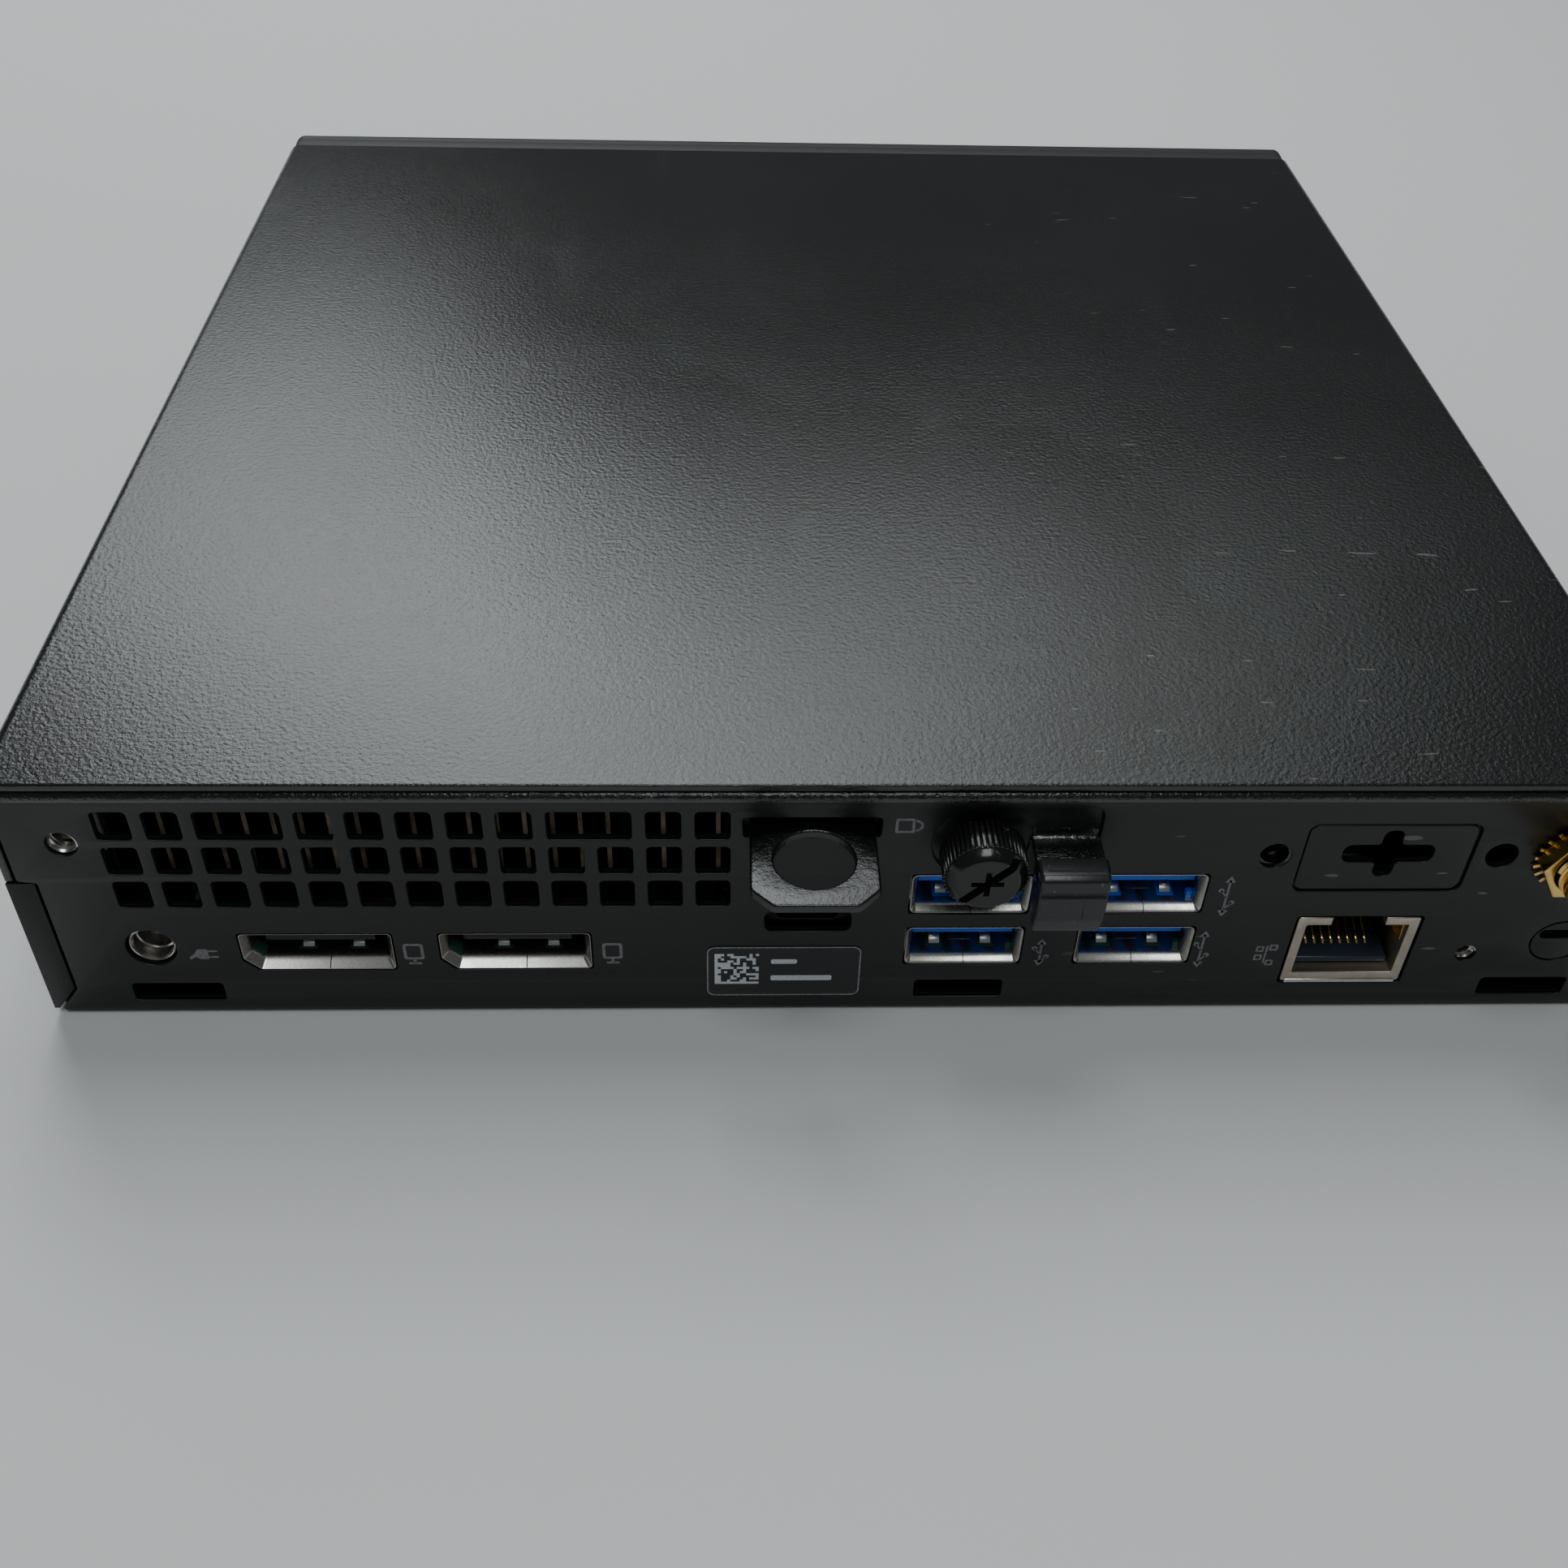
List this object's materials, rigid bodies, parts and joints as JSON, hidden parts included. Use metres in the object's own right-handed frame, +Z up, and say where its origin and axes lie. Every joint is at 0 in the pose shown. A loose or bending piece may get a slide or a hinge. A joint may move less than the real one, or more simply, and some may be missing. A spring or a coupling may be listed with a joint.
{
  "type": "mini pc",
  "caption": "Flat mini pc in a folded black steel case, with a slide-off cover, a perforated connector panel and rubber feet.",
  "frame": {"origin": "under the middle of the whole object, lock tongue included, on the surface it stands on", "axes": "+Z up; front bezel faces -Y; connector panel faces +Y; +X is the left-hand side seen from behind"},
  "size_m": [0.182, 0.1896, 0.036],
  "materials": {
    "painted_steel": "black powder coat, fine orange peel, satin",
    "bezel_plastic": "black moulded plastic, fine spark texture",
    "black_plastic": "black moulded plastic, satin",
    "bare_steel": "tin-plated steel, lightly scuffed",
    "blue_plastic": "saturated blue insulator plastic",
    "gold_plate": "gold-plated brass, bright",
    "circuit_board": "green solder mask over glass laminate",
    "aluminium": "mill finish",
    "copper": "bare copper",
    "clear_plastic": "clear moulded plastic",
    "foot_rubber": "matt black rubber",
    "label_film": null
  },
  "bodies": {
    "chassis": {"base_pan": "painted_steel", "rear_panel": "painted_steel", "cable_hook": "black_plastic", "power_switch": "black_plastic", "display_insert_left": "black_plastic", "display_insert_right": "black_plastic", "network_insert": "black_plastic", "power_inlet": "black_plastic", "blower_housing": "black_plastic", "memory_socket": "black_plastic", "drive_riser": "black_plastic", "coin_cell_holder": "black_plastic", "speaker": "black_plastic", "audio_socket": "black_plastic", "antenna_lead": "black_plastic", "usb_stack_left": "bare_steel", "usb_stack_right": "bare_steel", "display_connector_left": "bare_steel", "display_connector_right": "bare_steel", "network_connector": "bare_steel", "board_screw_1": "bare_steel", "board_screw_2": "bare_steel", "board_screw_3": "bare_steel", "board_screw_4": "bare_steel", "processor": "bare_steel", "coin_cell": "bare_steel", "front_usb_a": "bare_steel", "front_usb_c": "bare_steel", "usb_insert_left_lower": "blue_plastic", "usb_insert_left_upper": "blue_plastic", "usb_insert_right_lower": "blue_plastic", "usb_insert_right_upper": "blue_plastic", "front_usb_a_insert": "blue_plastic", "antenna_connector": "gold_plate", "antenna_nut": "gold_plate", "system_board": "circuit_board", "memory_module_lower": "circuit_board", "memory_module_upper": "circuit_board", "solid_state_drive": "circuit_board", "wireless_card": "circuit_board", "fin_stack": "aluminium", "cold_plate": "copper", "heat_pipe": "copper", "activity_light_pipe": "clear_plastic", "foot_rear_left": "foot_rubber", "foot_rear_right": "foot_rubber", "foot_front_left": "foot_rubber", "foot_front_right": "foot_rubber", "id_label": "label_film"},
    "cover": {"top_cover": "painted_steel", "cover_lock_bracket": "painted_steel", "front_bezel": "bezel_plastic"},
    "power_button": {"power_button": "bezel_plastic"},
    "thumbscrew_carrier": {"thumbscrew_washer": "bare_steel"},
    "thumbscrew": {"thumbscrew": "black_plastic"},
    "blower_rotor": {"blower_rotor": "black_plastic"},
    "drive_tray": {"drive_caddy": "black_plastic", "disk_drive": "aluminium"}
  },
  "joints": [
    {"name": "cover_slide", "type": "slide", "parent": "chassis", "child": "cover", "axis": [0, -1, 0], "range_m": [0, 0.013]},
    {"name": "thumbscrew_back_out", "type": "slide", "parent": "chassis", "child": "thumbscrew_carrier", "axis": [0, 1, 0], "range_m": [0, 0.0018]},
    {"name": "thumbscrew_turn", "type": "hinge", "parent": "thumbscrew_carrier", "child": "thumbscrew", "pos_m": [-0.0147, 0.0832, 0.0275], "axis": [0, 1, 0], "range_deg": [0, 1080]},
    {"name": "power_button_press", "type": "slide", "parent": "cover", "child": "power_button", "axis": [0, 1, 0], "range_m": [0, 0.0008], "stiffness_N_per_m": 2000, "springref_m": -0.0004},
    {"name": "blower_spin", "type": "hinge", "parent": "chassis", "child": "blower_rotor", "pos_m": [0.047, 0.0252, 0.0234], "axis": [0, 0, 1], "continuous": true},
    {"name": "drive_tray_slide", "type": "slide", "parent": "chassis", "child": "drive_tray", "axis": [0, -1, 0], "range_m": [0, 0.007]}
  ],
  "couplings": [
    {"joint": "thumbscrew_turn", "follows": "thumbscrew_back_out", "rad_per_m": 10470}
  ]
}
